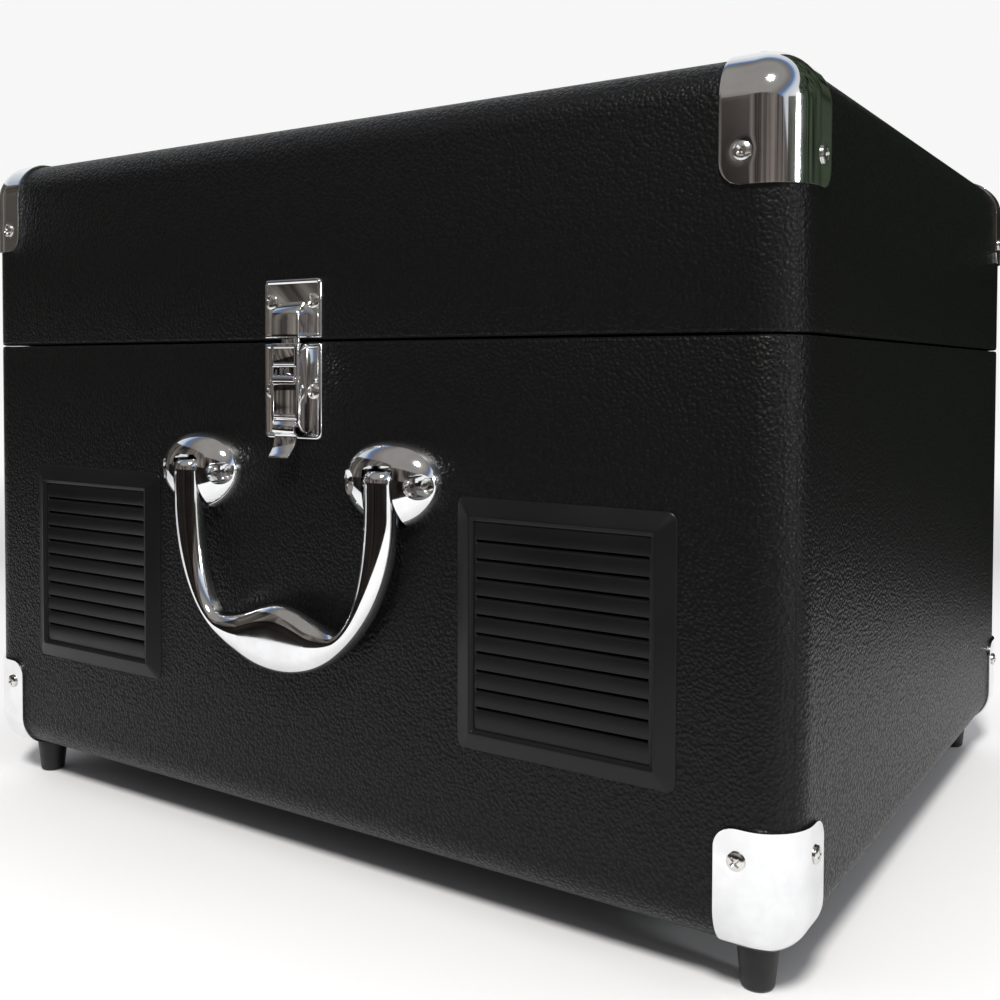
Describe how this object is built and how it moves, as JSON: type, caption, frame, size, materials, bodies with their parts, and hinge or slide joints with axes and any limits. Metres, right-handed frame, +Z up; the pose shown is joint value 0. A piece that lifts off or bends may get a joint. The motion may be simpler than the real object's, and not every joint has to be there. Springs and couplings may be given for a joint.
{
  "type": "portable suitcase phonograph",
  "caption": "Portable suitcase phonograph with a hinged lid, latch, carrying handle, louvred loudspeaker grilles and a belt-driven turntable with a tonearm.",
  "frame": {"origin": "middle of the overall footprint, on the plane that the feet stand on", "axes": "+Z up, the front with the latch and handle faces -Y, +X to the right seen from the front"},
  "size_m": [0.4052, 0.3462, 0.2966],
  "materials": {
    "leatherette": "pebbled black leatherette, semi-gloss",
    "lining": "dark flocked lining",
    "batten": "bare softwood",
    "deck": "black textured deck",
    "chrome": "polished chrome plate",
    "screw_steel": "nickel-plated steel",
    "foot_rubber": "black rubber",
    "grille_plastic": "satin black moulding",
    "speaker_steel": "grey painted steel",
    "speaker_paper": "black paper cone",
    "hinge_steel": "plated steel",
    "platter_metal": "turned aluminium",
    "mat_rubber": "ribbed black rubber",
    "belt_rubber": "plain rubber",
    "brass": "turned brass",
    "motor_steel": "drawn steel can",
    "arm_metal": "satin aluminium",
    "black_plastic": "black moulding",
    "knob_metal": "turned knob",
    "pot_plastic": "moulded control body",
    "circuit_board": "green circuit board",
    "socket_metal": "plated sockets",
    "wire_red": "red insulated wire"
  },
  "bodies": {
    "base": {"base_shell": "leatherette", "deck_rails": "batten", "deck_board": "deck", "base_corner_front_left": "chrome", "base_corner_front_right": "chrome", "base_corner_back_left": "chrome", "base_corner_back_right": "chrome", "base_screws": "screw_steel", "handle_screws": "screw_steel", "inner_screws": "screw_steel", "deck_screws": "screw_steel", "feet": "foot_rubber", "speaker_grille_left": "grille_plastic", "speaker_grille_right": "grille_plastic", "speaker_frame_left": "speaker_steel", "speaker_frame_right": "speaker_steel", "speaker_cone_left": "speaker_paper", "speaker_cone_right": "speaker_paper", "latch_plate": "chrome", "latch_pin": "screw_steel", "handle_mount_left": "chrome", "handle_mount_right": "chrome", "hinge_base_leaves": "hinge_steel", "hinge_pins": "hinge_steel", "platter_bearing": "brass", "drive_belt": "belt_rubber", "drive_motor": "motor_steel", "tonearm_base": "arm_metal", "arm_rest": "black_plastic", "control_pots": "pot_plastic", "amplifier_board": "circuit_board", "rear_panel": "black_plastic", "rear_sockets": "socket_metal", "speaker_wires": "wire_red"},
    "lid": {"lid_shell": "leatherette", "lid_lining": "lining", "lid_corner_front_left": "chrome", "lid_corner_front_right": "chrome", "lid_corner_back_left": "chrome", "lid_corner_back_right": "chrome", "lid_screws": "screw_steel", "latch_keeper": "chrome", "hinge_lid_leaves": "hinge_steel"},
    "latch_lever": {"latch_lever": "chrome"},
    "latch_bolt": {"latch_bolt": "hinge_steel"},
    "handle": {"handle_bail": "chrome"},
    "platter": {"platter": "platter_metal", "platter_mat": "mat_rubber", "spindle": "arm_metal"},
    "motor_pulley": {"motor_pulley": "brass"},
    "tonearm_yoke": {"tonearm_yoke": "arm_metal"},
    "tonearm": {"tonearm_tube": "arm_metal", "cartridge": "black_plastic", "counterweight": "motor_steel"},
    "cue_lever": {"cue_lever": "black_plastic"},
    "lift_platform": {"lift_platform": "arm_metal"},
    "volume_knob": {"volume_knob": "knob_metal"},
    "tone_knob": {"tone_knob": "knob_metal"},
    "speed_selector": {"speed_selector": "black_plastic"}
  },
  "joints": [
    {"name": "lid_hinge", "type": "hinge", "parent": "base", "child": "lid", "pos_m": [0, 0.1699, 0.2085], "axis": [-1, 0, 0], "range_deg": [0, 100]},
    {"name": "latch_lever_turn", "type": "hinge", "parent": "base", "child": "latch_lever", "pos_m": [0, -0.1636, 0.1935], "axis": [-1, 0, 0], "range_deg": [0, 90]},
    {"name": "latch_bolt_slide", "type": "slide", "parent": "base", "child": "latch_bolt", "axis": [0, 0, -1], "range_m": [0, 0.006]},
    {"name": "handle_swing", "type": "hinge", "parent": "base", "child": "handle", "pos_m": [0, -0.1666, 0.156], "axis": [-1, 0, 0], "range_deg": [0, 90]},
    {"name": "platter_spin", "type": "hinge", "parent": "base", "child": "platter", "pos_m": [-0.038, 0.0039, 0.19], "axis": [0, 0, 1], "continuous": true},
    {"name": "pulley_spin", "type": "hinge", "parent": "base", "child": "motor_pulley", "pos_m": [-0.09457, 0.06047, 0.19], "axis": [0, 0, 1], "continuous": true},
    {"name": "tonearm_swing", "type": "hinge", "parent": "base", "child": "tonearm_yoke", "pos_m": [0.14, 0.1089, 0.214], "axis": [0, 0, -1], "range_deg": [0, 45]},
    {"name": "tonearm_lift", "type": "hinge", "parent": "tonearm_yoke", "child": "tonearm", "pos_m": [0.14, 0.1089, 0.224], "axis": [-1, 0, 0], "range_deg": [0, 8]},
    {"name": "cue_lever_turn", "type": "hinge", "parent": "base", "child": "cue_lever", "pos_m": [0.166, 0.0789, 0.195], "axis": [-1, 0, 0], "range_deg": [0, 90]},
    {"name": "lift_platform_slide", "type": "slide", "parent": "base", "child": "lift_platform", "axis": [0, 0, 1], "range_m": [0, 0.0034]},
    {"name": "volume_turn", "type": "hinge", "parent": "base", "child": "volume_knob", "pos_m": [0.17, -0.1161, 0.187], "axis": [0, 0, -1], "range_deg": [0, 270]},
    {"name": "tone_turn", "type": "hinge", "parent": "base", "child": "tone_knob", "pos_m": [0.17, -0.0801, 0.187], "axis": [0, 0, -1], "range_deg": [0, 270]},
    {"name": "speed_turn", "type": "hinge", "parent": "base", "child": "speed_selector", "pos_m": [0.17, -0.0441, 0.187], "axis": [0, 0, -1], "range_deg": [-25, 25]}
  ],
  "couplings": [
    {"joint": "latch_bolt_slide", "follows": "latch_lever_turn", "m_per_rad": 0.00381},
    {"joint": "pulley_spin", "follows": "platter_spin", "ratio": 7.5},
    {"joint": "cue_lever_turn", "follows": "tonearm_lift", "ratio": 11.25},
    {"joint": "lift_platform_slide", "follows": "tonearm_lift", "m_per_rad": 0.0239}
  ]
}
